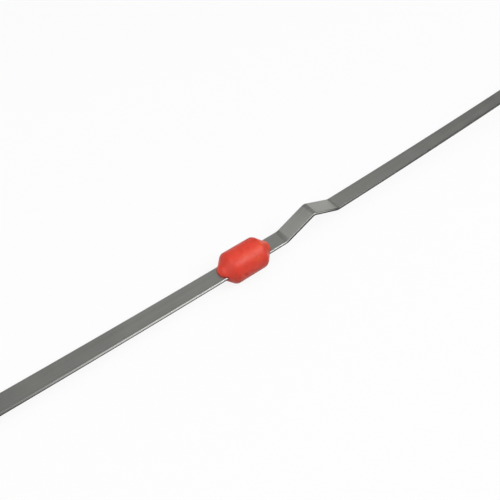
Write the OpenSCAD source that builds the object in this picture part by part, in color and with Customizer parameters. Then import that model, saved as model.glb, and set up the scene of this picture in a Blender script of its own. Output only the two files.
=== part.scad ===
// Engine oil dipstick: a formed steel strip with a moulded guide bead and a finger-ring handle.
// The origin is the middle of the handle's seat on the tube. The strip leaves it along +X,
// its wide face looks up along +Z, and the handle lies behind the seat.

/* [Strip] */
// Width of the flat strip
strip_w = 6; // [4:0.5:7]
// Thickness of the strip
strip_t = 1; // [0.7:0.1:1.4]
// Straight strip between the seat and the start of the bow
straight_len = 86; // [40:1:140]
// Radius of the gentle lengthwise bow
bow_r = 2780; // [1800:20:6000]
// Strip from the end of the kink to the tip
reach_len = 170; // [80:1:300]

/* [Kink] */
// Distance along the strip from the bead's middle to the kink's first corner
kink_gap = 16.8; // [15:0.1:40]
// Slanted length of the rise, corner to corner
rise_len = 13.4; // [8:0.1:20]
// Angle of the rise to the strip before it
rise_angle = 27.9; // [15:0.1:40]
// Slanted length of the fall, corner to corner
fall_len = 13.3; // [8:0.1:20]
// Angle of the fall to the strip before the kink
fall_angle = 22.7; // [12:0.1:35]
// Angle at which the strip leaves the kink
exit_angle = 1.4; // [0:0.1:5]
// Inside radius of the bends at the kink's two feet
foot_bend_r = 3; // [1:0.1:5]
// Inside radius of the bend at the kink's crest
crest_bend_r = 1.4; // [0.8:0.1:4]

/* [Level marks] */
// Diameter of the two level-mark holes
mark_d = 2; // [1:0.1:3]
// Distance from the tip to the low mark
mark_low = 12; // [8:0.5:30]
// Distance between the low mark and the full mark
mark_span = 22; // [10:1:40]

/* [Guide bead] */
// Distance along the strip from the seat to the bead's middle
bead_at = 168.2; // [120:0.1:260]
// Radial clearance between the bead and the tube that it guides the strip through
bead_clearance = 0.4; // [0.1:0.05:1.5]
// Length of the round body between the corners of its cones
bead_body_len = 12.6; // [6:0.1:20]
// Radius of the rounded corner between the body and each cone
bead_shoulder_r = 1.1; // [0.3:0.1:2]
// Angle between each cone and the bead's axis
bead_cone_angle = 51; // [40:1:65]
// Radius of the two domed noses
bead_nose_r = 3.6; // [3.2:0.05:5]
// Length that each nose stands out of the foot of its cone
bead_nose_len = 2.8; // [1.5:0.1:3.1]
// Height of the bead's axis above the middle of the strip
bead_lift = -0.15; // [-0.8:0.05:0.8]

/* [Handle] */
// Diameter of the finger hole
finger_d = 22; // [18:0.5:30]
// Width of the ring round the finger hole
ring_w = 7; // [5:0.1:10]
// Thickness of the ring
ring_t = 8; // [6:0.5:12]
// Radius of the ring's rounded edges
ring_edge_r = 2.6; // [0.5:0.1:2.9]
// Gap between the ring and the seat flange
neck_len = 7; // [4:0.5:12]
// Width of the neck
neck_w = 13; // [9:0.5:16]
// Thickness of the neck
neck_t = 7; // [5:0.5:12]
// Radius of the fillets that carry the neck into the ring
neck_fillet_r = 5; // [1:0.5:8]
// Diameter of the seat flange, before its flats
flange_d = 20; // [17:0.5:26]
// Thickness of the seat flange
flange_t = 3.2; // [2:0.1:5]
// How far the flange's two flats stand out from the tube's bore
flat_margin = 0.5; // [0.3:0.1:2]
// Radius of the flange's rounded rim
flange_rim_r = 0.8; // [0.2:0.1:0.9]
// Plastic between the strip's root and the finger hole
root_cover = 2.2; // [1:0.1:4]

/* [Plug and seal] */
// Bore of the tube that the plug enters
tube_d = 12; // [11.5:0.1:16]
// Radial clearance between the plug and the tube
plug_clearance = 0.4; // [0.2:0.05:0.8]
// Length of the plug
plug_len = 14; // [10:0.5:20]
// Length of the plug's tapered lead-in
lead_in_len = 2.5; // [1:0.1:4]
// Step of the lead-in towards the strip
lead_in_step = 1; // [0.5:0.1:1.5]
// Thickness of the seal ring
seal_t = 2; // [1.5:0.1:2.4]
// Squeeze of the seal ring in the tube, on the radius
seal_squeeze = 0.3; // [0.1:0.05:0.4]
// Distance from the seat to the middle of the seal ring
seal_at = 6.5; // [5:0.1:8]
// Clearance on each side of the seal ring in its groove
groove_clearance = 0.3; // [0.1:0.05:0.6]

/* [Lock holes] */
// Diameter of the holes that key the mouldings to the strip
lock_d = 3; // [2:0.1:3.4]
// Distance from the strip's root to the lock hole in the handle
root_lock_at = 5; // [3:0.5:8]

/* [Hidden] */
$fn = 64;

steel = "#878984";
orange_red = "#e2513d";
black = "#1c1c1e";

// Extra length of every cut, so that it passes right through
over = 1;

flange_flats = tube_d + 2 * flat_margin;
finger_r = finger_d / 2;
ring_r = finger_r + ring_w;
ring_x = -(flange_t + neck_len + ring_r);
root_len = flange_t + neck_len + ring_w - root_cover;

// Radii on the middle of the strip at the feet and the crest of the kink
foot_r = foot_bend_r + strip_t / 2;
crest_r = crest_bend_r + strip_t / 2;
crest_turn = rise_angle + fall_angle;
last_turn = fall_angle + exit_angle;

// What each bend takes from the straights beside it
first_inset = foot_r * tan(rise_angle / 2);
crest_inset = crest_r * tan(crest_turn / 2);
last_inset = foot_r * tan(last_turn / 2);

// The strip's route from root to tip: each step is [length, degrees that it turns up]
bow_before = bead_at + kink_gap - first_inset - straight_len;
tip_r = strip_w / 2;
route = [
    [root_len + straight_len, 0],
    [bow_before, bow_turn(bow_before)],
    [arc_length(foot_r, rise_angle), rise_angle],
    [rise_len - first_inset - crest_inset, 0],
    [arc_length(crest_r, crest_turn), -crest_turn],
    [fall_len - crest_inset - last_inset, 0],
    [arc_length(foot_r, last_turn), last_turn],
    [reach_len, bow_turn(reach_len)]
];
tip_at = run_up_to(len(route));

// The longest chord of the bow and the largest turn of a bend between two points of the outline
bow_chord = 8;
bend_chord_angle = 4;

// Half of the bead's outline: x is the radius, y runs along the bead from its middle
bead_corner = [tube_d / 2 - bead_clearance, bead_body_len / 2];
cone_normal = [cos(bead_cone_angle), sin(bead_cone_angle)];
bead_shoulder = bead_corner - bead_shoulder_r * [1, tan(bead_cone_angle / 2)];
nose_foot_r = sqrt(bead_nose_len * (2 * bead_nose_r - bead_nose_len));
nose_foot = bead_corner[1] + (bead_corner[0] - nose_foot_r) / tan(bead_cone_angle);
bead_end = nose_foot + bead_nose_len;

plug_r = tube_d / 2 - plug_clearance;
seal_outer_r = tube_d / 2 + seal_squeeze;
seal_mid_r = seal_outer_r - seal_t / 2;
groove_r = seal_outer_r - seal_t;
groove_w = seal_t + 2 * groove_clearance;

function arc_length(r, turn) = r * turn * PI / 180;
function bow_turn(run) = run / bow_r * 180 / PI;

// Length of the first n steps of the route
function run_up_to(n) = n == 0 ? 0 : route[n - 1][0] + run_up_to(n - 1);

// Where a place [x, z, heading] gets to after a run that turns up by so many degrees
function moved(place, run, turn) =
    turn == 0
    ? [place[0] + run * cos(place[2]), place[1] + run * sin(place[2]), place[2]]
    : let (r = run / turn * 180 / PI, to = place[2] + turn)
      [place[0] + r * (sin(to) - sin(place[2])), place[1] - r * (cos(to) - cos(place[2])), to];

// Place of the start of a step
function step_place(n) =
    n == 0 ? [-root_len, 0, 0] : moved(step_place(n - 1), route[n - 1][0], route[n - 1][1]);

// Place at a length along the strip, counted from its root
function place_at(s, n = 0) =
    n == len(route) - 1 || s <= route[n][0]
    ? moved(step_place(n), s, route[n][1] * s / route[n][0])
    : place_at(s - route[n][0], n + 1);

// Sets its children on the strip, facing along it
module set_at(place) {
    translate([place[0], 0, place[1]])
        rotate([0, -place[2], 0])
            children();
}

// Number of chords that a step is drawn with
function chords(step) =
    step[1] == 0 ? 1 : max(ceil(step[0] / bow_chord), ceil(abs(step[1]) / bend_chord_angle));

// Places along the middle of the strip, from root to tip
centre_line = [
    for (n = [0 : len(route) - 1])
        let (step = route[n], from = step_place(n), count = chords(step))
            for (k = [0 : count - 1])
                moved(from, step[0] * k / count, step[1] * k / count),
    step_place(len(route))
];

// Points of one face of the strip, so far above its middle
function face_points(rise) =
    [for (place = centre_line) [place[0] - rise * sin(place[2]), place[1] + rise * cos(place[2])]];

function backwards(points) = [for (i = [len(points) - 1 : -1 : 0]) points[i]];

// The bent strip with square ends and no holes
module bent_strip() {
    rotate([90, 0, 0])
        linear_extrude(strip_w, center = true)
            polygon(concat(face_points(-strip_t / 2), backwards(face_points(strip_t / 2))));
}

// What is cut away to round the tip, set where the tip's round begins
module tip_cut() {
    difference() {
        translate([0, -strip_w / 2 - over, -strip_t / 2 - over])
            cube([tip_r + over, strip_w + 2 * over, strip_t + 2 * over]);
        cylinder(h = strip_t + 4 * over, r = tip_r, center = true);
    }
}

// A hole through the strip at a length along it, counted from its root
module strip_hole(s, d) {
    set_at(place_at(s))
        cylinder(h = strip_t + 2 * over, d = d, center = true);
}

// The finished strip
module blade() {
    color(steel)
        difference() {
            bent_strip();
            set_at(place_at(tip_at - tip_r))
                tip_cut();
            strip_hole(root_lock_at, lock_d);
            strip_hole(root_len + bead_at, lock_d);
            strip_hole(tip_at - mark_low, mark_d);
            strip_hole(tip_at - mark_low - mark_span, mark_d);
        }
}

// Half of the bead's outline, from its middle to one nose. The shoulder's arc rounds the corner between
// the body and the cone, and the nose's dome stands on the cone's foot.
module bead_half_outline() {
    polygon([
        [0, 0],
        [bead_corner[0], 0],
        [bead_corner[0], bead_shoulder[1]],
        bead_shoulder,
        bead_shoulder + bead_shoulder_r * cone_normal,
        [nose_foot_r, nose_foot],
        [0, nose_foot]
    ]);
    translate(bead_shoulder)
        circle(bead_shoulder_r);
    intersection() {
        translate([0, bead_end - bead_nose_r])
            circle(bead_nose_r);
        square([bead_nose_r, bead_end + over]);
    }
}

module bead_body() {
    rotate([0, 90, 0])
        rotate_extrude() {
            bead_half_outline();
            mirror([0, 1])
                bead_half_outline();
        }
}

// The bead is moulded on, so its cavity is the strip itself, and it fills the lock hole
module guide_bead() {
    color(orange_red)
        difference() {
            set_at(place_at(root_len + bead_at))
                translate([0, 0, bead_lift])
                    bead_body();
            blade();
        }
}

// Rectangle with round corners, centred
module round_rectangle(w, h, r) {
    square([w - 2 * r, h], center = true);
    square([w, h - 2 * r], center = true);
    for (x = [-1, 1], y = [-1, 1])
        translate([x * (w / 2 - r), y * (h / 2 - r)])
            circle(r);
}

// Finger ring, lying flat round the origin
module finger_ring() {
    rotate_extrude($fn = 96)
        translate([finger_r + ring_w / 2, 0])
            round_rectangle(ring_w, ring_t, ring_edge_r);
}

// Seat flange: a round rim with two flats, which the handle lies on
module seat_flange() {
    intersection() {
        rotate([0, -90, 0])
            rotate_extrude($fn = 96) {
                square([flange_d / 2 - flange_rim_r, flange_t]);
                translate([0, flange_rim_r])
                    square([flange_d / 2, flange_t - 2 * flange_rim_r]);
                for (y = [flange_rim_r, flange_t - flange_rim_r])
                    translate([flange_d / 2 - flange_rim_r, y])
                        circle(flange_rim_r);
            }
        cube([2 * flange_t + over, flange_d + over, flange_flats], center = true);
    }
}

// Neck from the flange into the ring, with an arc that touches both in each corner
module neck() {
    arc_y = neck_w / 2 + neck_fillet_r;
    arc_x = ring_x + sqrt(pow(ring_r + neck_fillet_r, 2) - pow(arc_y, 2));
    touch_y = arc_y * ring_r / (ring_r + neck_fillet_r);
    linear_extrude(neck_t, center = true)
        difference() {
            translate([ring_x, -touch_y])
                square([-ring_x - flange_t / 2, 2 * touch_y]);
            for (side = [-1, 1])
                translate([arc_x, side * arc_y]) {
                    circle(neck_fillet_r);
                    translate([0, -neck_fillet_r])
                        square([-ring_x, 2 * neck_fillet_r]);
                }
            translate([ring_x, 0])
                circle(ring_r - ring_w / 2);
        }
}

// Plug below the flange, with its seal groove and tapered lead-in
module plug() {
    rotate([0, 90, 0])
        rotate_extrude($fn = 96)
            difference() {
                polygon([
                    [0, -flange_t / 2],
                    [plug_r, -flange_t / 2],
                    [plug_r, plug_len - lead_in_len],
                    [plug_r - lead_in_step, plug_len],
                    [0, plug_len]
                ]);
                translate([groove_r, seal_at - groove_w / 2])
                    square([seal_t + over, groove_w]);
            }
}

// The handle is moulded on too: its cavity is the strip's root, and it fills the root's lock hole
module handle() {
    color(orange_red)
        difference() {
            union() {
                translate([ring_x, 0, 0])
                    finger_ring();
                neck();
                seat_flange();
                plug();
            }
            blade();
        }
}

module plug_seal() {
    color(black)
        translate([seal_at, 0, 0])
            rotate([0, 90, 0])
                rotate_extrude($fn = 96)
                    translate([seal_mid_r, 0])
                        circle(seal_t / 2);
}

blade();
guide_bead();
handle();
plug_seal();
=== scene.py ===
"""Looks of an engine oil dipstick: a formed steel strip, a guide bead, a finger-ring handle and its seal.

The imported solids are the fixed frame. The strip, the bead and the seal ring are modelled anew in their
places, with rolled edges, moulding seams and gate marks. The handle keeps its solid's form, with softened
edges. Lengths are in metres and angles in degrees, unless a name says otherwise.
"""

import logging
import math
from collections.abc import Sequence
from dataclasses import dataclass, field
from enum import Enum
from typing import NamedTuple

import bmesh
import bpy
from mathutils import Matrix, Vector


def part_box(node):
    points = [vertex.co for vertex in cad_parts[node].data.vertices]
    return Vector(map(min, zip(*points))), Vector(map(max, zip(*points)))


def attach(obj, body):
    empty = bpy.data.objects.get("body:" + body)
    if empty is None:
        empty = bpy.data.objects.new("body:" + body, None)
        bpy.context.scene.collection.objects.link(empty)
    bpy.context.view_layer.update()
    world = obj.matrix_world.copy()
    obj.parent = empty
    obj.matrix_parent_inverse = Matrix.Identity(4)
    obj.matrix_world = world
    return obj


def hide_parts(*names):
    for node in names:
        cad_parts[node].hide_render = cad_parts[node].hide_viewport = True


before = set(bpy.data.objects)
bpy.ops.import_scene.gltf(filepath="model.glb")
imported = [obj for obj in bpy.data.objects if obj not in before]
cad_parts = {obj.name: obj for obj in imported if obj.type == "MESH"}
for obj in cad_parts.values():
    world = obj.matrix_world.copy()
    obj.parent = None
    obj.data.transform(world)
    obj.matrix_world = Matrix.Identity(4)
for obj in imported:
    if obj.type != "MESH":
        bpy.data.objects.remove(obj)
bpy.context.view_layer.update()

logging.basicConfig(level=logging.INFO, format="%(message)s")
log = logging.getLogger("dipstick")

MM = 0.001
# Distance under which two vertices are one
MERGE = 0.0001 * MM
# Distance under which a point lies on a plane, a line or a circle
TOUCH = 0.001 * MM
FULL_TURN = 2 * math.pi
BODY = "root"

Colour = tuple[float, float, float]
Triple = tuple[float, float, float]
Point = tuple[float, float]
Shape = bmesh.types.BMesh
Item = bmesh.types.BMVert | bmesh.types.BMEdge
Socket = bpy.types.NodeSocket


class Slot(Enum):
    """Names of the material slots."""

    STEEL = "spring_steel"
    PLASTIC = "orange_red_plastic"
    RUBBER = "seal_rubber"


class Cut(Enum):
    """Ways in which one solid works on another."""

    REMOVE = "DIFFERENCE"
    JOIN = "UNION"


class Rounding(Enum):
    """What a bevel rounds off."""

    CORNERS = "VERTICES"
    EDGES = "EDGES"


class Place(NamedTuple):
    """A place on the strip's middle line, and the way it faces there, in radians."""

    x: float
    z: float
    heading: float


class Fade(NamedTuple):
    """A range of values, and the range that it is carried to smoothly and held in."""

    low: float
    high: float
    to_low: float = 0.0
    to_high: float = 1.0


class Grain(NamedTuple):
    """A cloudy noise, or a lined one where it is stretched: its scale, its detail and its rise as a bump."""

    scale: float
    detail: float
    rise: float = 0.0
    stretch: Triple | None = None


class PressMarkAndShade(NamedTuple):
    """A dull band that the press tool left across the strip at a bend, painted dark there as shade too."""

    at: float
    reach: float
    depth: float


class EndShadeAndLight(NamedTuple):
    """Where painted shade darkens the bead over and beside the strip, and where a painted highlight makes one
    nose lighter and warmer.
    """

    over: Fade
    beside: Fade
    painted_nose_light: Fade


def object_from(name: str, mesh: Shape) -> bpy.types.Object:
    """Makes a linked object of a bmesh, and frees the bmesh.

    Args:
        name: Name of the object and its mesh.
        mesh: The finished bmesh.

    Returns:
        The new object, at the origin.
    """
    data = bpy.data.meshes.new(name)
    mesh.to_mesh(data)
    mesh.free()
    piece = bpy.data.objects.new(name, data)
    bpy.context.scene.collection.objects.link(piece)
    return piece


def copied(piece: bpy.types.Object) -> Shape:
    """Copies an object's mesh, without its modifiers.

    Args:
        piece: The object.

    Returns:
        A bmesh of its mesh.
    """
    mesh = bmesh.new()
    mesh.from_mesh(piece.data)
    return mesh


def discard(piece: bpy.types.Object) -> None:
    """Removes an object and its mesh.

    Args:
        piece: The object.
    """
    data = piece.data
    bpy.data.objects.remove(piece)
    bpy.data.meshes.remove(data)


def applied(piece: bpy.types.Object) -> Shape:
    """Applies an object's modifiers, and removes the object.

    Args:
        piece: The object.

    Returns:
        A bmesh of its finished mesh.
    """
    mesh = bmesh.new()
    mesh.from_object(piece, bpy.context.evaluated_depsgraph_get())
    discard(piece)
    return mesh


def worked(body: Shape, tool: Shape, cut: Cut) -> Shape:
    """Cuts one closed shape with another, or joins the two.

    Args:
        body: The shape that is worked on; it is freed.
        tool: The shape that works on it; it is freed.
        cut: Whether the tool's room is removed or joined.

    Returns:
        A new bmesh of the result.
    """
    blank = object_from("blank", body)
    cutter = object_from("cutter", tool)
    change = blank.modifiers.new("cut", "BOOLEAN")
    change.operation = cut.value
    change.solver = "EXACT"
    change.object = cutter
    result = applied(blank)
    discard(cutter)
    return result


def tidy_shell(mesh: Shape) -> None:
    """Merges doubles, turns every face outwards and shades the shell smooth.

    Args:
        mesh: The bmesh to tidy.
    """
    bmesh.ops.remove_doubles(mesh, verts=mesh.verts, dist=MERGE)
    bmesh.ops.recalc_face_normals(mesh, faces=mesh.faces)
    for face in mesh.faces:
        face.smooth = True


def rounded(mesh: Shape, items: Sequence[Item], kind: Rounding, width: float, faces: int) -> None:
    """Rounds corners or edges off.

    Args:
        mesh: The bmesh that they are part of.
        items: The corners or the edges.
        kind: Which of the two they are.
        width: How far from them the rounding starts.
        faces: Faces across the rounding.
    """
    bmesh.ops.bevel(
        mesh, geom=items, affect=kind.value, offset=width, segments=faces, profile=0.5, material=-1
    )


def scored(mesh: Shape, point: Triple, normal: Triple) -> None:
    """Scores a line round a mesh where a plane meets it.

    Args:
        mesh: The bmesh.
        point: A point of the plane.
        normal: The plane's normal.
    """
    everything = list(mesh.verts) + list(mesh.edges) + list(mesh.faces)
    bmesh.ops.bisect_plane(mesh, geom=everything, dist=MERGE, plane_co=point, plane_no=normal)


def spun(mesh: Shape, steps: int) -> None:
    """Spins a line in full round the X axis, into a closed shell.

    Args:
        mesh: A bmesh that holds the line and nothing else.
        steps: Faces round the shell.
    """
    bmesh.ops.spin(
        mesh,
        geom=list(mesh.edges) + list(mesh.verts),
        cent=(0, 0, 0),
        axis=(1, 0, 0),
        angle=FULL_TURN,
        steps=steps,
        use_merge=True,
        use_duplicate=False,
    )
    tidy_shell(mesh)


def pin(radius: float, height: float, place: Matrix, faces: int) -> Shape:
    """Makes a round pin.

    Args:
        radius: Its radius.
        height: Its height.
        place: Its middle, with its length as the Z axis.
        faces: Faces round it.

    Returns:
        A bmesh of the pin.
    """
    mesh = bmesh.new()
    bmesh.ops.create_cone(
        mesh, cap_ends=True, segments=faces, radius1=radius, radius2=radius, depth=height, matrix=place
    )
    return mesh


@dataclass(frozen=True)
class Run:
    """One stretch of the strip's middle line.

    Attributes:
        length: Length along the middle of the strip.
        turn: How far it turns up over that length, in radians.
    """

    length: float
    turn: float = 0.0

    def moved(self, start: Place, way: float) -> Place:
        """Follows the stretch from its start.

        Args:
            start: Place of the start.
            way: Length to follow.

        Returns:
            The place reached.
        """
        x, z, heading = start
        if not self.turn:
            return Place(x + way * math.cos(heading), z + way * math.sin(heading), heading)
        radius = self.length / self.turn
        to = heading + way / radius
        return Place(
            x + radius * (math.sin(to) - math.sin(heading)),
            z - radius * (math.cos(to) - math.cos(heading)),
            to,
        )


@dataclass(frozen=True)
class StripRoute:
    """Middle line of the strip: a straight, a long bow, the pressed kink and the bowed reach to the tip.

    Its sizes are those of the solid that the new strip stands for. BENDS says which of its stretches are
    the kink's first foot, its crest and its last foot.
    """

    BENDS = (2, 4, 6)
    root: float = 15 * MM
    straight: float = 86 * MM
    bow_radius: float = 2780 * MM
    bead_at: float = 168.2 * MM
    kink_gap: float = 16.8 * MM
    rise: float = 13.4 * MM
    rise_angle: float = 27.9
    fall: float = 13.3 * MM
    fall_angle: float = 22.7
    exit_angle: float = 1.4
    foot_radius: float = 3.5 * MM
    crest_radius: float = 1.9 * MM
    reach: float = 170 * MM
    bow_chord: float = 4 * MM
    bend_chord: float = 2.0

    def runs(self) -> list[Run]:
        """Works out the stretches.

        Returns:
            The stretches from root to tip.
        """
        rise, fall = math.radians(self.rise_angle), math.radians(self.fall_angle)
        last = fall + math.radians(self.exit_angle)
        first_inset = self.foot_radius * math.tan(rise / 2)
        crest_inset = self.crest_radius * math.tan((rise + fall) / 2)
        last_inset = self.foot_radius * math.tan(last / 2)
        bow = self.bead_at + self.kink_gap - first_inset - self.straight
        return [
            Run(self.root + self.straight),
            Run(bow, bow / self.bow_radius),
            Run(self.foot_radius * rise, rise),
            Run(self.rise - first_inset - crest_inset),
            Run(self.crest_radius * (rise + fall), -rise - fall),
            Run(self.fall - crest_inset - last_inset),
            Run(self.foot_radius * last, last),
            Run(self.reach, self.reach / self.bow_radius),
        ]

    def length(self) -> float:
        """Length of the whole strip, measured along its middle."""
        return sum(run.length for run in self.runs())

    def bends(self) -> list[float]:
        """Middles of the kink's bends, as lengths from the root."""
        runs = self.runs()
        return [sum(run.length for run in runs[:n]) + runs[n].length / 2 for n in self.BENDS]

    def at(self, way: float) -> Place:
        """Finds the place at a length along the strip.

        Args:
            way: Length from the root.

        Returns:
            The place there.
        """
        place = Place(-self.root, 0.0, 0.0)
        runs = self.runs()
        for run in runs[:-1]:
            if way <= run.length:
                return run.moved(place, way)
            place = run.moved(place, run.length)
            way -= run.length
        return runs[-1].moved(place, way)

    def stations(self) -> list[float]:
        """Finds where the strip gets a cross line: seldom in the bow, and close together in the bends.

        Returns:
            Lengths from the root.
        """
        lengths, start = [], 0.0
        for run in self.runs():
            by_turn = math.ceil(math.degrees(abs(run.turn)) / self.bend_chord)
            by_length = math.ceil(run.length / self.bow_chord)
            count = max(by_turn, by_length)
            lengths += [start + run.length * k / count for k in range(count)]
            start += run.length
        return lengths[1:]

    def matrix(self, way: float, rise: float) -> Matrix:
        """Finds the frame that stands on the strip at a length along it.

        Args:
            way: Length from the root.
            rise: Height over the strip's middle.

        Returns:
            The frame, its X axis along the strip.
        """
        place = self.at(way)
        turn = Matrix.Rotation(-place.heading, 4, "Y")
        return Matrix.Translation((place.x, 0.0, place.z)) @ turn @ Matrix.Translation((0.0, 0.0, rise))


class Nodes:
    """Short calls that fill one tree of shader nodes.

    MIX_INPUTS and MIX_RESULT are the places of the share, the two colours and the result on a Mix node.
    """

    MIX_INPUTS = (0, 6, 7)
    MIX_RESULT = 2

    def __init__(self, owner: bpy.types.Material | bpy.types.World, output: str) -> None:
        """Empties the owner's tree and gives it an output.

        Args:
            owner: The material or the world.
            output: Blender's name of the output's node type.
        """
        owner.use_nodes = True
        self.tree = owner.node_tree
        self.tree.nodes.clear()
        self.end = self.add(output).inputs["Surface"]

    def add(self, kind: str, **settings: object) -> bpy.types.Node:
        """Adds a node.

        Args:
            kind: Blender's name of the node type.
            settings: Properties of the node.

        Returns:
            The node.
        """
        node = self.tree.nodes.new(kind)
        for name, value in settings.items():
            setattr(node, name, value)
        return node

    def link(self, source: Socket, target: Socket) -> None:
        """Links an output to an input."""
        self.tree.links.new(source, target)

    def fill(self, target: Socket, value: object) -> None:
        """Links a socket to an input, or writes a plain value there.

        Args:
            target: The input.
            value: A socket, a number, a colour or three numbers.
        """
        if isinstance(value, Socket):
            self.link(value, target)
        elif target.type == "RGBA":
            target.default_value = (*value, 1.0)
        else:
            target.default_value = value

    def maths(self, operation: str, first: object, second: object = 0.0) -> Socket:
        """Adds one step of arithmetic.

        Args:
            operation: Blender's name of the operation.
            first: A socket or a number.
            second: A socket or a number, where the operation takes two.

        Returns:
            The result.
        """
        node = self.add("ShaderNodeMath", operation=operation)
        self.fill(node.inputs[0], first)
        self.fill(node.inputs[1], second)
        return node.outputs[0]

    def weighed(self, first: Socket, second: Socket, share: float) -> Socket:
        """Adds a share of one value to the rest of another.

        Args:
            first: The value that the share is of.
            second: The other value.
            share: The share, between 0 and 1.

        Returns:
            The sum.
        """
        parts = (self.maths("MULTIPLY", first, share), self.maths("MULTIPLY", second, 1.0 - share))
        return self.maths("ADD", *parts)

    def faded(self, value: Socket, fade: Fade) -> Socket:
        """Carries a range of values smoothly to another range, and holds it there beyond its ends.

        Args:
            value: The values.
            fade: The two ranges.

        Returns:
            The new values.
        """
        node = self.add("ShaderNodeMapRange", interpolation_type="SMOOTHSTEP")
        self.link(value, node.inputs["Value"])
        for name, number in zip(("From Min", "From Max", "To Min", "To Max"), fade):
            node.inputs[name].default_value = number
        return node.outputs["Result"]

    def mix(self, share: object, first: object, second: object) -> Socket:
        """Mixes two colours.

        Args:
            share: How much of the second there is: a socket or a number.
            first: The first colour, or its socket.
            second: The second colour, or its socket.

        Returns:
            The mixed colour.
        """
        node = self.add("ShaderNodeMix", data_type="RGBA")
        for place, value in zip(self.MIX_INPUTS, (share, first, second)):
            self.fill(node.inputs[place], value)
        return node.outputs[self.MIX_RESULT]

    def axis(self, source: Socket, name: str) -> Socket:
        """Takes one coordinate of a vector.

        Args:
            source: The vector.
            name: The coordinate: X, Y or Z.

        Returns:
            The coordinate.
        """
        node = self.add("ShaderNodeSeparateXYZ")
        self.link(source, node.inputs[0])
        return node.outputs[name]

    def rays(self, kinds: Sequence[str]) -> Socket:
        """Tells rays of some kinds from all others.

        Args:
            kinds: Outputs of the light path, such as Is Camera Ray.

        Returns:
            A value that is 1 for rays of those kinds, and 0 for all others.
        """
        path = self.add("ShaderNodeLightPath")
        share = path.outputs[kinds[0]]
        for kind in kinds[1:]:
            share = self.maths("MAXIMUM", share, path.outputs[kind])
        return share

    def shader(self, kind: str, colour: object, strength: float | None = None) -> Socket:
        """Adds a plain shader.

        Args:
            kind: Blender's name of the node type.
            colour: Its colour, or the colour's socket.
            strength: Its strength, where it gives light.

        Returns:
            The shader's output.
        """
        node = self.add(kind)
        self.fill(node.inputs["Color"], colour)
        if strength is not None:
            node.inputs["Strength"].default_value = strength
        return node.outputs[0]

    def mix_shaders(self, share: Socket, first: Socket, second: Socket) -> Socket:
        """Mixes two shaders.

        Args:
            share: How much of the second there is.
            first: The first shader.
            second: The second shader.

        Returns:
            The mixed shader.
        """
        node = self.add("ShaderNodeMixShader")
        for place, source in enumerate((share, first, second)):
            self.link(source, node.inputs[place])
        return node.outputs[0]


class Finish(Nodes):
    """Short calls that build one material round Blender's principled surface."""

    def __init__(self, name: str) -> None:
        """Starts a material with a plain surface.

        Args:
            name: Name of the material.
        """
        self.material = bpy.data.materials.new(name)
        super().__init__(self.material, "ShaderNodeOutputMaterial")
        self.surface = self.add("ShaderNodeBsdfPrincipled")
        self.link(self.surface.outputs["BSDF"], self.end)
        self.position = self.add("ShaderNodeTexCoord").outputs["Object"]

    def give(self, name: str, value: object) -> None:
        """Links or writes one input of the surface."""
        self.fill(self.surface.inputs[name], value)

    def own_map(self, name: str) -> Socket:
        """Coordinates of one of the piece's own maps."""
        return self.add("ShaderNodeUVMap", uv_map=name).outputs["UV"]

    def off(self, source: Socket, name: str) -> Socket:
        """How far off its middle one coordinate of a vector is, on either side."""
        return self.maths("ABSOLUTE", self.axis(source, name))

    def grain(self, grain: Grain, source: Socket | None = None) -> Socket:
        """Adds a noise.

        Args:
            grain: What the noise is like.
            source: The coordinates that it reads, or none for the place on the object.

        Returns:
            Its values, between 0 and 1.
        """
        source = self.position if source is None else source
        if grain.stretch:
            stretched = self.add("ShaderNodeMapping")
            self.link(source, stretched.inputs["Vector"])
            stretched.inputs["Scale"].default_value = grain.stretch
            source = stretched.outputs["Vector"]
        node = self.add("ShaderNodeTexNoise")
        self.link(source, node.inputs["Vector"])
        node.inputs["Scale"].default_value = grain.scale
        node.inputs["Detail"].default_value = grain.detail
        return node.outputs["Fac"]

    def bump(self, layers: list[tuple[Socket, float]]) -> None:
        """Raises the surface.

        Args:
            layers: Layers of height, each a socket and the rise of its whole range.
        """
        normal = None
        for height, rise in layers:
            node = self.add("ShaderNodeBump")
            self.link(height, node.inputs["Height"])
            node.inputs["Distance"].default_value = rise
            if normal is not None:
                self.link(normal, node.inputs["Normal"])
            normal = node.outputs["Normal"]
        self.give("Normal", normal)


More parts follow.
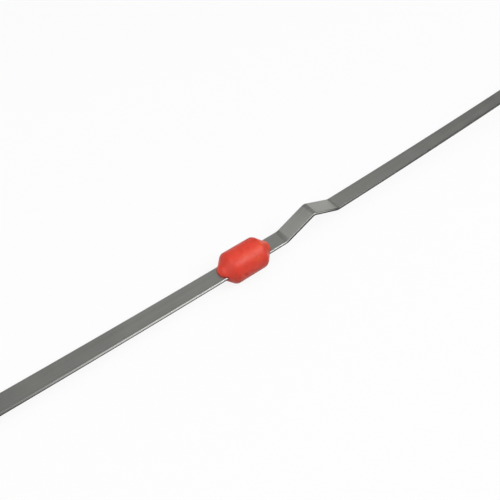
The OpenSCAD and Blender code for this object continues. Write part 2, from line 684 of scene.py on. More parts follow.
@dataclass(frozen=True)
class ColdRolledSteel:
    """Satin grey spring steel with fine rolling lines, slit edges with a painted highlight along a stretch
    and painted shade at their ends and in their lower zone, and dull press marks painted dark as shade across
    the bends.

    Attributes:
        width: Width of the strip that it dresses.
        marks: Press marks at the kink's first foot, its crest and its last foot, also painted dark as shade
            across the bends.
    """

    width: float
    marks: list[PressMarkAndShade]
    pale: Colour = (0.455, 0.46, 0.432)
    dark: Colour = (0.40, 0.405, 0.38)
    tone: Fade = Fade(0.36, 0.64)
    polish: Colour = (0.52, 0.525, 0.49)
    polish_line: Colour = (0.63, 0.635, 0.60)
    polish_tone: Fade = Fade(0.42, 0.58)
    polish_share: float = 0.6
    # Colour of the press marks, dark enough to paint the shade across the bends
    mark: Colour = (0.22, 0.222, 0.21)
    mark_core: float = 0.4
    mark_patches: Fade = Fade(0.3, 0.7, 0.35, 0.8)
    rim_start: float = 0.30 * MM
    rim_end: float = 0.16 * MM
    # Painted highlight along a stretch of the slit edge, stronger before the bead, and painted shade at its
    # ends
    edge_highlight: Colour = (0.42, 0.42, 0.40)
    strong_edge_highlight: Colour = (0.60, 0.60, 0.575)
    strong_highlight_end: Fade = Fade(168 * MM, 184 * MM)
    edge_shade: Colour = (0.112, 0.112, 0.108)
    shine_start: Fade = Fade(88 * MM, 145 * MM)
    shine_end: Fade = Fade(217 * MM, 226 * MM, 1.0, 0.0)
    # Painted shade along the lower zone of the slit edge, taller on the kink's rise
    torn_zone_shade: Colour = (0.022, 0.022, 0.022)
    tear_top: float = 0.02 * MM
    tear_top_rise: float = 0.36 * MM
    tear_top_reach: float = 0.08 * MM
    tear_blend: float = 0.05 * MM
    roughness: Fade = Fade(0.3, 0.7, 0.30, 0.40)
    mark_roughness: float = 0.15
    rim_roughness: float = -0.10
    tear_roughness: float = 0.30
    fine_lines: Grain = Grain(1.0, 4.0, 0.004 * MM, (25, 9000, 1))
    broad_lines: Grain = Grain(1.0, 3.0, 0.006 * MM, (9, 1600, 1))
    fine_share: float = 0.45
    clouds: Grain = Grain(90.0, 4.0)
    lines_share: float = 0.7
    patches: Grain = Grain(900.0, 3.0)
    pits: Grain = Grain(5200.0, 2.0, 0.002 * MM)

    def material(self) -> bpy.types.Material:
        """Builds the material.

        Returns:
            The material, which reads lengths along the flat blank that the strip was bent from.
        """
        finish = Finish("cold_rolled_steel")
        blank = finish.own_map(Strip.BLANK_MAP)
        section = finish.own_map(Strip.SECTION_MAP)
        along = finish.axis(blank, "X")
        fine = finish.grain(self.fine_lines, blank)
        broad = finish.grain(self.broad_lines, blank)
        lines = finish.weighed(fine, broad, self.fine_share)
        tone = finish.weighed(lines, finish.grain(self.clouds), self.lines_share)
        pressed = self.pressed(finish, along)
        across = finish.off(section, "X")
        rim = finish.faded(across, Fade(self.width / 2 - self.rim_start, self.width / 2 - self.rim_end))
        shaded_torn_zone = finish.maths("MULTIPLY", rim, self.shaded_torn_zone(finish, along, finish.axis(section, "Y")))

        face = finish.mix(self.formed(finish, along), self.rolled(finish, tone), self.polished(finish, lines))
        face = finish.mix(pressed, face, self.mark)
        face = finish.mix(rim, face, self.edge(finish, along))
        finish.give("Base Color", finish.mix(shaded_torn_zone, face, self.torn_zone_shade))
        rough = finish.faded(tone, self.roughness)
        for area, change in (
            (pressed, self.mark_roughness),
            (rim, self.rim_roughness),
            (shaded_torn_zone, self.tear_roughness),
        ):
            rough = finish.maths("ADD", rough, finish.maths("MULTIPLY", area, change))
        finish.give("Roughness", rough)
        finish.give("Metallic", 1.0)
        finish.bump(
            [
                (fine, self.fine_lines.rise),
                (broad, self.broad_lines.rise),
                (finish.grain(self.pits), self.pits.rise),
            ]
        )
        return finish.material

    def rolled(self, finish: Finish, tone: Socket) -> Socket:
        """Colour of the rolled face."""
        return finish.mix(finish.faded(tone, self.tone), self.dark, self.pale)

    def polished(self, finish: Finish, lines: Socket) -> Socket:
        """Colour of the kink, which the press tool polished."""
        return finish.mix(finish.faded(lines, self.polish_tone), self.polish, self.polish_line)

    def formed(self, finish: Finish, along: Socket) -> Socket:
        """Finds the stretch that the press tool formed.

        Args:
            finish: The material in the making.
            along: Length along the blank.

        Returns:
            How far the stretch is polished, and 0 outside it.
        """
        first, last = self.marks[0], self.marks[-1]
        start = Fade(first.at, first.at + first.reach)
        end = Fade(last.at - last.reach, last.at, self.polish_share, 0.0)
        return finish.maths("MULTIPLY", finish.faded(along, start), finish.faded(along, end))

    def pressed(self, finish: Finish, along: Socket) -> Socket:
        """Finds the patchy bands where the press tool bore on the strip, which also paint shade across the
        bends.

        Args:
            finish: The material in the making.
            along: Length along the blank.

        Returns:
            The depth of the marks.
        """
        bands = 0.0
        for mark in self.marks:
            off = finish.maths("ABSOLUTE", finish.maths("SUBTRACT", along, mark.at))
            band = finish.faded(off, Fade(mark.reach * self.mark_core, mark.reach, mark.depth, 0.0))
            bands = finish.maths("MAXIMUM", bands, band)
        patches = finish.faded(finish.grain(self.patches), self.mark_patches)
        return finish.maths("MULTIPLY", bands, patches)

    def shaded_torn_zone(self, finish: Finish, along: Socket, height: Socket) -> Socket:
        """Finds the lower zone of the slit edge, where shade is painted and which is taller on the kink's
        rise.

        Args:
            finish: The material in the making.
            along: Length along the blank.
            height: Height in the strip's section.

        Returns:
            A value that is 1 in the zone and 0 above it.
        """
        foot, crest = self.marks[0], self.marks[1]
        rising = Fade(foot.at - foot.reach, foot.at + foot.reach, self.tear_top, self.tear_top_rise)
        drop = self.tear_top_reach - self.tear_top_rise
        falling = Fade(crest.at - crest.reach, crest.at + crest.reach, 0.0, drop)
        top = finish.maths("ADD", finish.faded(along, rising), finish.faded(along, falling))
        return finish.faded(
            finish.maths("SUBTRACT", height, top), Fade(-self.tear_blend, self.tear_blend, 1.0, 0.0)
        )

    def edge(self, finish: Finish, along: Socket) -> Socket:
        """Colours the slit edge with painted light: painted shade at its ends, a painted highlight between,
        and a stronger painted highlight before the bead.

        Args:
            finish: The material in the making.
            along: Length along the blank.

        Returns:
            The colour.
        """
        start = finish.faded(along, self.shine_start)
        end = finish.faded(along, self.shine_end)
        edge_highlight = finish.mix(finish.faded(along, self.strong_highlight_end), self.strong_edge_highlight, self.edge_highlight)
        return finish.mix(finish.maths("MULTIPLY", start, end), self.edge_shade, edge_highlight)


@dataclass(frozen=True)
class MouldedPlastic:
    """Satin orange-red nylon, a little mottled where the melt flowed.

    Attributes:
        name: Name of the material.
        ends: The painted shade at the bead's ends over the strip and the painted highlight on one nose, where
            it dresses the bead.
        parting: Whether a parting line runs round the piece at the height of the origin.
    """

    name: str
    ends: EndShadeAndLight | None = None
    parting: bool = False
    body: Colour = (0.81, 0.059, 0.032)
    warm: Colour = (0.87, 0.106, 0.036)
    deep: Colour = (0.65, 0.035, 0.022)
    # Painted contact shade where the bead meets the strip
    thin: Colour = (0.30, 0.018, 0.014)
    flow: Grain = Grain(170.0, 3.0)
    flow_share: Fade = Fade(0.50, 0.74, 0.0, 0.7)
    mottle: Grain = Grain(520.0, 4.0)
    mottle_share: Fade = Fade(0.50, 0.78, 0.0, 0.55)
    sink: Grain = Grain(260.0, 2.0, 0.10 * MM)
    skin: Grain = Grain(3800.0, 3.0, 0.006 * MM)
    roughness: Fade = Fade(0.3, 0.7, 0.38, 0.50)
    specular: float = 0.42
    glow: float = 0.12
    glow_reach: Triple = (1.0, 0.25, 0.12)
    glow_scale: float = 0.6 * MM
    parting_line: Fade = Fade(0.04 * MM, 0.14 * MM, 1.0, 0.0)
    parting_height: float = 0.05 * MM

    def material(self) -> bpy.types.Material:
        """Builds the material.

        Returns:
            The material.
        """
        finish = Finish(self.name)
        mottle = finish.grain(self.mottle)
        colour = finish.mix(finish.faded(finish.grain(self.flow), self.flow_share), self.body, self.warm)
        colour = finish.mix(finish.faded(mottle, self.mottle_share), colour, self.deep)
        if self.ends:
            colour = self.with_painted_ends(finish, colour)
        finish.give("Base Color", colour)
        finish.give("Roughness", finish.faded(mottle, self.roughness))
        finish.give("Specular IOR Level", self.specular)
        finish.give("Subsurface Weight", self.glow)
        finish.give("Subsurface Radius", self.glow_reach)
        finish.give("Subsurface Scale", self.glow_scale)
        layers = [(finish.grain(grain), grain.rise) for grain in (self.sink, self.skin)]
        if self.parting:
            line = finish.faded(finish.off(finish.position, "Z"), self.parting_line)
            layers.append((line, self.parting_height))
        finish.bump(layers)
        return finish.material

    def with_painted_ends(self, finish: Finish, colour: Socket) -> Socket:
        """Paints a highlight on one nose of the bead and paints shade on its ends over and beside the strip.

        Args:
            finish: The material in the making.
            colour: The plastic's colour so far.

        Returns:
            The changed colour.
        """
        mould = finish.own_map(GuideBead.MOULD_MAP)
        # Painted highlight on the nose towards the tip
        painted_nose_light = finish.faded(finish.axis(mould, "X"), self.ends.painted_nose_light)
        colour = finish.mix(painted_nose_light, colour, self.warm)
        # Painted shade over and beside the strip
        over = finish.faded(finish.off(mould, "Y"), self.ends.over)
        beside = finish.faded(finish.off(finish.position, "Y"), self.ends.beside)
        return finish.mix(finish.maths("MULTIPLY", over, beside), colour, self.thin)


@dataclass(frozen=True)
class SealRubber:
    """Matt black nitrile rubber with a faint grey bloom."""

    black: Colour = (0.012, 0.012, 0.013)
    bloom: Colour = (0.035, 0.035, 0.034)
    clouds: Grain = Grain(420.0, 4.0)
    bloom_share: Fade = Fade(0.45, 0.75)
    roughness: Fade = Fade(0.3, 0.7, 0.5, 0.62)
    skin: Grain = Grain(4200.0, 3.0, 0.008 * MM)

    def material(self) -> bpy.types.Material:
        """Builds the material.

        Returns:
            The material.
        """
        finish = Finish("seal_rubber")
        clouds = finish.grain(self.clouds)
        finish.give("Base Color", finish.mix(finish.faded(clouds, self.bloom_share), self.black, self.bloom))
        finish.give("Roughness", finish.faded(clouds, self.roughness))
        finish.bump([(finish.grain(self.skin), self.skin.rise)])
        return finish.material


@dataclass(frozen=True)
class StripSizes:
    """Section, holes, edges and press marks of the strip.

    Attributes:
        press_marks_and_shade: Reach and depth of the marks at the kink's first foot, its crest and its last
            foot, which also paint shade across the bends.
    """

    width: float = 6 * MM
    thickness: float = 1 * MM
    roll_radius: float = 0.28 * MM
    burr_radius: float = 0.06 * MM
    edge_faces: int = 6
    tip_faces: int = 36
    lock_radius: float = 1.5 * MM
    root_lock_at: float = 5 * MM
    mark_radius: float = 1 * MM
    mark_low: float = 12 * MM
    mark_span: float = 22 * MM
    hole_faces: int = 48
    punch_length: float = 4 * MM
    rim_ease: float = 0.07 * MM
    rim_faces: int = 2
    rim_angle: float = 45.0
    press_marks_and_shade: tuple[Point, ...] = ((1.5 * MM, 0.9), (0.95 * MM, 0.8), (1.2 * MM, 0.35))


@dataclass(frozen=True)
class Strip:
    """The flat spring-steel strip: sheared to length, punched, rolled at its edges and pressed to shape."""

    route: StripRoute
    sizes: StripSizes
    NODE = "blade"
    BLANK_MAP = "blank"
    SECTION_MAP = "section"

    def blank(self) -> Shape:
        """Makes the flat blank, from its square root to its full-round tip.

        Returns:
            A bmesh along X, from the root at 0, its middle in the XY plane.
        """
        sizes = self.sizes
        half_w, half_t = sizes.width / 2, sizes.thickness / 2
        tip_at = self.route.length() - half_w
        mesh = bmesh.new()
        corners = ((0, -half_t), (half_w, -half_t), (half_w, half_t), (0, half_t))
        section = [mesh.verts.new((tip_at, y, z)) for y, z in corners]
        mesh.faces.new(section)
        for corner, radius in ((section[1], sizes.burr_radius), (section[2], sizes.roll_radius)):
            rounded(mesh, [corner], Rounding.CORNERS, radius, sizes.edge_faces)
        bmesh.ops.delete(mesh, geom=list(mesh.faces), context="FACES_ONLY")
        middle = [edge for edge in mesh.edges if all(vert.co.y == 0 for vert in edge.verts)]
        bmesh.ops.delete(mesh, geom=middle, context="EDGES")
        first_half = list(mesh.edges)
        spin = bmesh.ops.spin(
            mesh,
            geom=first_half + list(mesh.verts),
            cent=(tip_at, 0, 0),
            axis=(0, 0, -1),
            angle=FULL_TURN / 2,
            steps=sizes.tip_faces,
            use_duplicate=False,
        )
        last_half = [item for item in spin["geom_last"] if isinstance(item, bmesh.types.BMEdge)]
        sides = bmesh.ops.extrude_edge_only(mesh, edges=first_half + last_half)
        root_verts = [item for item in sides["geom"] if isinstance(item, bmesh.types.BMVert)]
        bmesh.ops.translate(mesh, verts=root_verts, vec=(-tip_at, 0, 0))
        bmesh.ops.remove_doubles(mesh, verts=mesh.verts, dist=MERGE)
        bmesh.ops.holes_fill(mesh, edges=[edge for edge in mesh.edges if edge.is_boundary], sides=0)
        return mesh

    def punched(self, mesh: Shape) -> Shape:
        """Punches the lock holes and the level marks, and eases their rims.

        Args:
            mesh: The blank; it is freed.

        Returns:
            The punched blank.
        """
        sizes, end = self.sizes, self.route.length()
        holes = [
            (sizes.root_lock_at, sizes.lock_radius),
            (self.route.root + self.route.bead_at, sizes.lock_radius),
            (end - sizes.mark_low, sizes.mark_radius),
            (end - sizes.mark_low - sizes.mark_span, sizes.mark_radius),
        ]
        for way, radius in holes:
            place = Matrix.Translation((way, 0, 0))
            punch = pin(radius, sizes.punch_length, place, sizes.hole_faces)
            mesh = worked(mesh, punch, Cut.REMOVE)
        rims = [edge for edge in mesh.edges if self.is_rim(edge, holes)]
        rounded(mesh, rims, Rounding.EDGES, sizes.rim_ease, sizes.rim_faces)
        return mesh

    def is_rim(self, edge: bmesh.types.BMEdge, holes: list[Point]) -> bool:
        """Says whether an edge runs round a hole on one of the wide faces.

        Args:
            edge: An edge of the punched blank.
            holes: Length along the blank and radius of each hole.

        Returns:
            True for an edge of a hole's rim.
        """
        half_t = self.sizes.thickness / 2
        for vert in edge.verts:
            on_face = abs(abs(vert.co.z) - half_t) < TOUCH
            off_holes = [abs(math.hypot(vert.co.x - way, vert.co.y) - radius) for way, radius in holes]
            if not on_face or min(off_holes) > 2 * TOUCH:
                return False
        return len(edge.link_faces) == 2 and edge.calc_face_angle() > math.radians(self.sizes.rim_angle)

    def pressed(self, mesh: Shape) -> None:
        """Scores the blank with cross lines, maps it and bends it along the route.

        Args:
            mesh: The punched blank, which is bent in place.
        """
        for way in self.route.stations():
            scored(mesh, (way, 0, 0), (1, 0, 0))
        blank_map = mesh.loops.layers.uv.new(self.BLANK_MAP)
        section_map = mesh.loops.layers.uv.new(self.SECTION_MAP)
        for face in mesh.faces:
            for loop in face.loops:
                loop[blank_map].uv = loop.vert.co.xy
                loop[section_map].uv = loop.vert.co.yz
        for vert in mesh.verts:
            way, y, rise = vert.co
            place = self.route.at(way)
            vert.co = (
                place.x - rise * math.sin(place.heading),
                y,
                place.z + rise * math.cos(place.heading),
            )

    def build(self) -> bpy.types.Object:
        """Makes the strip, dresses it and stands it in for its solid.

        Returns:
            The strip.
        """
        mesh = self.punched(self.blank())
        self.pressed(mesh)
        tidy_shell(mesh)
        strip = object_from("steel_strip", mesh)
        marks = [PressMarkAndShade(at, *mark) for at, mark in zip(self.route.bends(), self.sizes.press_marks_and_shade)]
        strip.data.materials.append(ColdRolledSteel(self.sizes.width, marks).material())
        strip.modifiers.new("even_shading", "WEIGHTED_NORMAL")
        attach(strip, BODY)
        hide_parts(self.NODE)
        return strip


@dataclass(frozen=True)
class GuideBead:
    """The bead moulded onto the strip: a round body, cone ends and round noses.

    Its seam runs round it in the strip's plane, and its gate left a dimple with a nib on the seam.
    """

    route: StripRoute
    NODE = "guide_bead"
    MOULD_MAP = "mould"
    shift: float = -0.1 * MM
    radius: float = 5.75 * MM
    body_half: float = 6.1 * MM
    cone_angle: float = 46.0
    shoulder_radius: float = 1.9 * MM
    shoulder_faces: int = 8
    foot_radius: float = 3.0 * MM
    foot_points: int = 8
    nose_radius: float = 3.4 * MM
    nose_at: float = 7.25 * MM
    nose_points: int = 14
    steps: int = 96
    seam_half_width: float = 0.09 * MM
    seam_height: float = 0.05 * MM
    gate_at: float = -3.6 * MM
    gate_angle: float = 9.0
    gate_radius: float = 0.6 * MM
    gate_depth: float = 0.2 * MM
    gate_faces: int = 32
    nib_radius: float = 0.25 * MM
    nib_height: float = 0.16 * MM
    nib_faces: int = 24
    # Height over the strip and fade beside it of the painted contact shade
    contact_shade_height: float = 1.3 * MM
    contact_shade_fade: float = 0.3 * MM
    # Painted highlight on the nose towards the tip: where along X it is painted lighter and warmer, and how
    # much
    painted_nose_light: Fade = Fade(8.0 * MM, 9.0 * MM, 0.0, 0.75)

    @staticmethod
    def arc(middle: Vector, radius: float, start: float, end: float, points: int) -> list[Point]:
        """Works out points along an arc, without its end.

        Args:
            middle: The arc's middle.
            radius: The arc's radius.
            start: Direction of its start, in radians.
            end: Direction of its end, in radians.
            points: How many points.

        Returns:
            The points.
        """
        turns = [start + (end - start) * k / points for k in range(points)]
        return [(middle.x + radius * math.cos(turn), middle.y + radius * math.sin(turn)) for turn in turns]

    def outline(self) -> list[Point]:
        """Works out the bead's half section, in which each cone runs into its nose in a soft foot.

        Returns:
            Corners as (along X, radius), from nose to nose, both ends on the axis.
        """
        cone = math.radians(self.cone_angle)
        slope = Vector((math.cos(cone), -math.sin(cone)))
        outward = Vector((math.sin(cone), math.cos(cone)))
        nose = Vector((self.nose_at, 0.0))
        start = Vector((self.body_half, self.radius)) + outward * self.foot_radius
        reach = self.nose_radius + self.foot_radius
        back = (start - nose).dot(slope)
        way = -back - math.sqrt(back**2 - (start - nose).length_squared + reach**2)
        foot = start + slope * way
        to_nose = math.atan2(*(nose - foot).yx)
        to_cone = math.atan2(*(-outward).yx)
        right = [(self.body_half, self.radius)]
        right += self.arc(foot, self.foot_radius, to_cone, to_nose, self.foot_points)
        right += self.arc(nose, self.nose_radius, math.pi + to_nose, 0.0, self.nose_points)
        right.append((nose.x + self.nose_radius, 0.0))
        return [(-along, radius) for along, radius in reversed(right)] + right

    def turned(self) -> Shape:
        """Rounds the outline's two shoulders and spins it about the X axis.

        Returns:
            A bmesh of the bead's body.
        """
        outline = self.outline()
        mesh = bmesh.new()
        verts = [mesh.verts.new((along, away, 0.0)) for along, away in outline]
        mesh.faces.new(verts)
        shoulder = len(outline) // 2
        corner = math.radians(180 - self.cone_angle)
        inset = self.shoulder_radius / math.tan(corner / 2)
        for index in (shoulder - 1, shoulder):
            rounded(mesh, [verts[index]], Rounding.CORNERS, inset, self.shoulder_faces)
        bmesh.ops.delete(mesh, geom=list(mesh.faces), context="FACES_ONLY")
        on_axis = [edge for edge in mesh.edges if all(abs(vert.co.y) < TOUCH for vert in edge.verts)]
        bmesh.ops.delete(mesh, geom=on_axis, context="EDGES")
        spun(mesh, self.steps)
        return mesh

    def seamed(self, mesh: Shape) -> None:
        """Raises the seam, and maps the body by its lengths along X and Z.

        Args:
            mesh: The bead's body, which is changed in place.
        """
        for offset in (-self.seam_half_width, 0.0, self.seam_half_width):
            scored(mesh, (0, 0, offset), (0, 0, 1))
        for vert in mesh.verts:
            if abs(vert.co.z) < TOUCH and abs(vert.co.y) > self.seam_height:
                vert.co.y += math.copysign(self.seam_height, vert.co.y)
        mould_map = mesh.loops.layers.uv.new(self.MOULD_MAP)
        for face in mesh.faces:
            for loop in face.loops:
                loop[mould_map].uv = loop.vert.co.xz

    def gated(self, mesh: Shape) -> Shape:
        """Sinks the gate's dimple and leaves its nib standing.

        Args:
            mesh: The bead's body; it is freed.

        Returns:
            The body with its gate mark.
        """
        side = Matrix.Rotation(math.radians(90 - self.gate_angle), 4, "X")
        spot = Matrix.Translation((self.gate_at, 0, 0)) @ side
        surface = spot @ Matrix.Translation((0, 0, self.radius))
        dimple = pin(self.gate_radius, 2 * self.gate_depth, surface, self.gate_faces)
        mesh = worked(mesh, dimple, Cut.REMOVE)
        bottom = spot @ Matrix.Translation((0, 0, self.radius - self.gate_depth))
        nib = pin(self.nib_radius, 2 * self.nib_height, bottom, self.nib_faces)
        return worked(mesh, nib, Cut.JOIN)

    def build(self, strip: bpy.types.Object, sizes: StripSizes) -> bpy.types.Object:
        """Makes the bead round the finished strip, which is its cavity.

        Args:
            strip: The finished strip.
            sizes: Section of the strip.

        Returns:
            The bead.
        """
        mesh = self.turned()
        self.seamed(mesh)
        mesh = self.gated(mesh)
        middle = self.route.root + self.route.bead_at + self.shift
        bmesh.ops.transform(mesh, verts=mesh.verts, matrix=self.route.matrix(middle, 0.0))
        mesh = worked(mesh, copied(strip), Cut.REMOVE)
        tidy_shell(mesh)
        bead = object_from("guide_bead_moulding", mesh)
        half_t, half_w = sizes.thickness / 2, sizes.width / 2
        ends = EndShadeAndLight(
            over=Fade(half_t, self.contact_shade_height, 1.0, 0.0),
            beside=Fade(half_w, half_w + self.contact_shade_fade, 1.0, 0.0),
            painted_nose_light=self.painted_nose_light,
        )
        bead.data.materials.clear()
        bead.data.materials.append(MouldedPlastic("orange_red_nylon", ends=ends).material())
        bead.modifiers.new("even_shading", "WEIGHTED_NORMAL")
        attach(bead, BODY)
        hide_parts(self.NODE)
        return bead


@dataclass(frozen=True)
class Handle:
    """The finger-ring moulding: its solid, with every edge softened as a moulding tool leaves it.

    Its cavity is closed first and cut again by the finished strip, so that its mouth stays sharp.
    """

    NODE = "handle"
    voxel: float = 0.25 * MM
    smoothings: int = 4
    kept_share: float = 0.4
    overlap: float = 0.02 * MM

    def filled(self, sizes: StripSizes, root: float) -> Shape:
        """Copies the solid and closes its cavity.

        Args:
            sizes: Section of the strip in the cavity.
            root: Length of the strip behind the seat flange.

        Returns:
            A bmesh of the filled solid.
        """
        solid = copied(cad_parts[self.NODE])
        mouth = max(vert.co.x for vert in solid.verts)
        tidy_shell(solid)
        lengths = (
            root + mouth,
            sizes.width + 2 * self.overlap,
            sizes.thickness + 2 * self.overlap,
        )
        core = bmesh.new()
        middle = Matrix.Translation(((mouth - root) / 2 - self.overlap, 0, 0))
        bmesh.ops.create_cube(core, size=1.0, matrix=middle @ Matrix.Diagonal((*lengths, 1.0)))
        return worked(solid, core, Cut.JOIN)

    def softened(self, mesh: Shape) -> Shape:
        """Rounds every edge a little.

        Args:
            mesh: The filled solid; it is freed.

        Returns:
            A bmesh of the soft-edged body.
        """
        blank = object_from("blank", mesh)
        remesh = blank.modifiers.new("remesh", "REMESH")
        remesh.mode = "VOXEL"
        remesh.voxel_size = self.voxel
        smooth = blank.modifiers.new("smooth", "SMOOTH")
        smooth.iterations = self.smoothings
        thin = blank.modifiers.new("thin", "DECIMATE")
        thin.ratio = self.kept_share
        return applied(blank)

    def build(self, strip: bpy.types.Object, sizes: StripSizes, root: float) -> bpy.types.Object:
        """Makes the handle round the finished strip.

        Args:
            strip: The finished strip.
            sizes: Section of the strip.
            root: Length of the strip behind the seat flange.

        Returns:
            The handle.
        """
        mesh = self.softened(self.filled(sizes, root))
        mesh = worked(mesh, copied(strip), Cut.REMOVE)
        tidy_shell(mesh)
        handle = object_from("handle_moulding", mesh)
        handle.data.materials.clear()
        handle.data.materials.append(MouldedPlastic("handle_nylon", parting=True).material())
        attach(handle, BODY)
        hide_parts(self.NODE)
        return handle


@dataclass(frozen=True)
class PlugSeal:
    """The rubber ring in the plug's groove, with the fine flash lines of its mould."""

    NODE = "plug_seal"
    flash: float = 0.05 * MM
    section_points: int = 40
    steps: int = 120

    def build(self) -> bpy.types.Object:
        """Makes the ring in its solid's place and dresses it.

        Returns:
            The ring.
        """
        low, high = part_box(self.NODE)
        radius = (high[0] - low[0]) / 2
        ring_radius = (high[1] - low[1]) / 2 - radius
        mesh = bmesh.new()
        place = Matrix.Translation(((low[0] + high[0]) / 2, ring_radius, 0.0))
        bmesh.ops.create_circle(mesh, segments=self.section_points, radius=radius, matrix=place)
        for vert in mesh.verts:
            if abs(abs(vert.co.y - ring_radius) - radius) < TOUCH:
                vert.co.y += math.copysign(self.flash, vert.co.y - ring_radius)
        spun(mesh, self.steps)
        seal = object_from("seal_ring", mesh)
        seal.data.materials.append(SealRubber().material())
        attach(seal, BODY)
        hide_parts(self.NODE)
        return seal


@dataclass(frozen=True)
class Softbox:
    """A soft lamp that faces the object from one side.

    Attributes:
        name: Name of the lamp.
        towards: Direction from the object to the lamp.
        distance: How far off it stands.
        width: Its level side.
        height: Its other side.
        power: Its power in watts.
    """

    name: str
    towards: Triple
    distance: float
    width: float
    height: float
    power: float

    def place(self, target: Vector) -> None:
        """Sets the lamp up so that it faces the target.

        Args:
            target: The point that it faces.
        """
        lamp = bpy.data.lights.new(self.name, "AREA")
        lamp.shape = "RECTANGLE"
        lamp.size = self.width
        lamp.size_y = self.height
        lamp.energy = self.power
        stand = bpy.data.objects.new(self.name, lamp)
        way = Vector(self.towards).normalized()
        stand.location = target + way * self.distance
        stand.rotation_euler = way.to_track_quat("Z", "Y").to_euler()
        stand.visible_camera = False
        bpy.context.scene.collection.objects.link(stand)


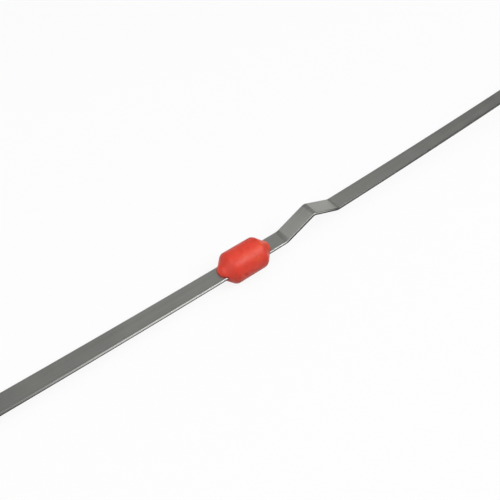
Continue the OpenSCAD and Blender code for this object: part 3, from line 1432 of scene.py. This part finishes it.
@dataclass(frozen=True)
class Studio:
    """A white table and backdrop, a grey ceiling, an even light and softboxes round the object.

    Attributes:
        middle: The point that every lamp faces.
        card: Colour of the table where it is seen or mirrored.
        bounce_card: Its colour for the light that it throws back on the object.
        floor_share: Share of plain white over the table's own shade, near the object.
    """

    middle: Vector
    floor_size: float = 12.0
    floor_gap: float = 0.02 * MM
    card: Colour = (0.92, 0.92, 0.92)
    bounce_card: Colour = (0.12, 0.12, 0.12)
    floor_share: float = 0.88
    shadow_reach: float = 0.35
    fade_reach: float = 0.9
    white: Colour = (1.0, 1.0, 1.0)
    backdrop_top: float = 0.2
    ceiling: Colour = (0.24, 0.24, 0.24)
    ambient: float = 0.22
    lamps: list[Softbox] = field(
        default_factory=lambda: [
            Softbox("key_softbox", (0.50, -0.44, 0.75), 0.9, 0.36, 0.36, 2.4),
            Softbox("front_softbox", (0.20, -0.50, 0.84), 1.0, 1.1, 1.1, 1.8),
            Softbox("top_softbox", (-0.10, -0.22, 0.97), 1.2, 1.1, 1.1, 3.2),
            Softbox("left_softbox", (-0.76, -0.16, 0.63), 1.0, 1.05, 1.05, 4.4),
            Softbox("side_softbox", (-0.58, 0.48, 0.66), 1.0, 0.5, 0.5, 0.10),
            Softbox("back_softbox", (0.34, 0.57, 0.74), 1.2, 1.0, 0.5, 0.40),
            Softbox("end_softbox", (0.90, 0.42, 0.27), 1.2, 0.6, 0.5, 0.12),
        ]
    )

    def floor(self, low: Vector, high: Vector) -> bpy.types.Object:
        """Lays the table under the object as it comes to rest on its seat flange and its bead.

        Args:
            low: Where the flange meets the table.
            high: Where the bead meets it.

        Returns:
            The table.
        """
        mesh = bmesh.new()
        bmesh.ops.create_grid(mesh, x_segments=1, y_segments=1, size=self.floor_size / 2)
        slope = math.atan2(high.z - low.z, high.x - low.x)
        tilt = Matrix.Rotation(-slope, 4, "Y")
        bmesh.ops.transform(mesh, verts=mesh.verts, matrix=Matrix.Translation(low) @ tilt)
        bmesh.ops.translate(mesh, verts=mesh.verts, vec=(0, 0, -self.floor_gap))
        table = object_from("table", mesh)
        table.data.materials.append(self.floor_material())
        return table

    def floor_material(self) -> bpy.types.Material:
        """Makes white card that shows as the white background and keeps a soft shadow.

        Returns:
            The material.
        """
        material = bpy.data.materials.new("white_card")
        nodes = Nodes(material, "ShaderNodeOutputMaterial")
        shown = nodes.rays(("Is Camera Ray", "Is Glossy Ray", "Is Transmission Ray"))
        card = nodes.shader("ShaderNodeBsdfDiffuse", nodes.mix(shown, self.bounce_card, self.card))
        far_off = nodes.add("ShaderNodeVectorMath", operation="LENGTH")
        nodes.link(nodes.add("ShaderNodeTexCoord").outputs["Object"], far_off.inputs[0])
        fade = Fade(self.shadow_reach, self.fade_reach, self.floor_share, 1.0)
        share = nodes.maths("MULTIPLY", shown, nodes.faded(far_off.outputs["Value"], fade))
        white = nodes.shader("ShaderNodeEmission", self.white, 1.0)
        nodes.link(nodes.mix_shaders(share, card, white), nodes.end)
        return material

    def sky(self) -> None:
        """Sets the world: a white background, an even light, and a grey ceiling for the steel to mirror."""
        world = bpy.data.worlds.new("studio")
        nodes = Nodes(world, "ShaderNodeOutputWorld")
        height = nodes.axis(nodes.add("ShaderNodeTexCoord").outputs["Generated"], "Z")
        mirrored = nodes.mix(nodes.faded(height, Fade(0.0, self.backdrop_top)), self.white, self.ceiling)
        result = nodes.shader("ShaderNodeBackground", self.white, self.ambient)
        for kinds, colour in (
            (("Is Glossy Ray",), mirrored),
            (("Is Camera Ray", "Is Transmission Ray"), self.white),
        ):
            shown = nodes.shader("ShaderNodeBackground", colour, 1.0)
            result = nodes.mix_shaders(nodes.rays(kinds), result, shown)
        nodes.link(result, nodes.end)
        bpy.context.scene.world = world

    def build(self) -> None:
        """Sets up the table, the sky and the lamps."""
        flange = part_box("handle")
        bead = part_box("guide_bead")
        under_flange = Vector((0.0, 0.0, flange[0][2]))
        under_bead = Vector(((bead[0][0] + bead[1][0]) / 2, 0.0, bead[0][2]))
        self.floor(under_flange, under_bead)
        self.sky()
        for lamp in self.lamps:
            lamp.place(self.middle)


@dataclass(frozen=True)
class PhotoCamera:
    """The camera, looking down on the bead and the kink along a slanting line."""

    target: Triple = (170.505 * MM, 0.0, 4.767 * MM)
    distance: float = 163.10 * MM
    azimuth: float = -39.904
    elevation: float = 48.757
    roll: float = 2.415
    lens_mm: float = 35.354
    sensor_mm: float = 36.0
    nearest: float = 5 * MM
    farthest: float = 50.0

    def build(self) -> bpy.types.Object:
        """Makes the scene's camera.

        Returns:
            The camera.
        """
        data = bpy.data.cameras.new("camera")
        data.lens = self.lens_mm
        data.sensor_width = self.sensor_mm
        data.clip_start = self.nearest
        data.clip_end = self.farthest
        camera = bpy.data.objects.new("camera", data)
        azimuth, elevation = math.radians(self.azimuth), math.radians(self.elevation)
        back = Vector(
            (
                math.sin(azimuth) * math.cos(elevation),
                -math.cos(azimuth) * math.cos(elevation),
                math.sin(elevation),
            )
        )
        aim = (-back).to_track_quat("-Z", "Y").to_matrix().to_4x4()
        camera.matrix_world = (
            Matrix.Translation(Vector(self.target) + back * self.distance)
            @ aim
            @ Matrix.Rotation(math.radians(self.roll), 4, "Z")
        )
        bpy.context.scene.collection.objects.link(camera)
        bpy.context.scene.camera = camera
        return camera


def report(piece: bpy.types.Object) -> None:
    """Logs a piece's faces and its size in millimetres."""
    size = " x ".join(f"{length / MM:.2f}" for length in piece.dimensions)
    log.info("%s: %d faces, %s mm", piece.name, len(piece.data.polygons), size)


def main() -> None:
    """Builds the camera, the pieces and the studio in order, and reports each piece."""
    bpy.context.scene.view_settings.view_transform = "Standard"
    camera = PhotoCamera()
    camera.build()
    route = StripRoute()
    sizes = StripSizes()
    strip = Strip(route, sizes).build()
    bead = GuideBead(route).build(strip, sizes)
    handle = Handle().build(strip, sizes, route.root)
    seal = PlugSeal().build()
    Studio(Vector(camera.target)).build()
    bpy.context.view_layer.update()
    for piece in (strip, bead, handle, seal):
        report(piece)


if __name__ == "__main__":
    main()
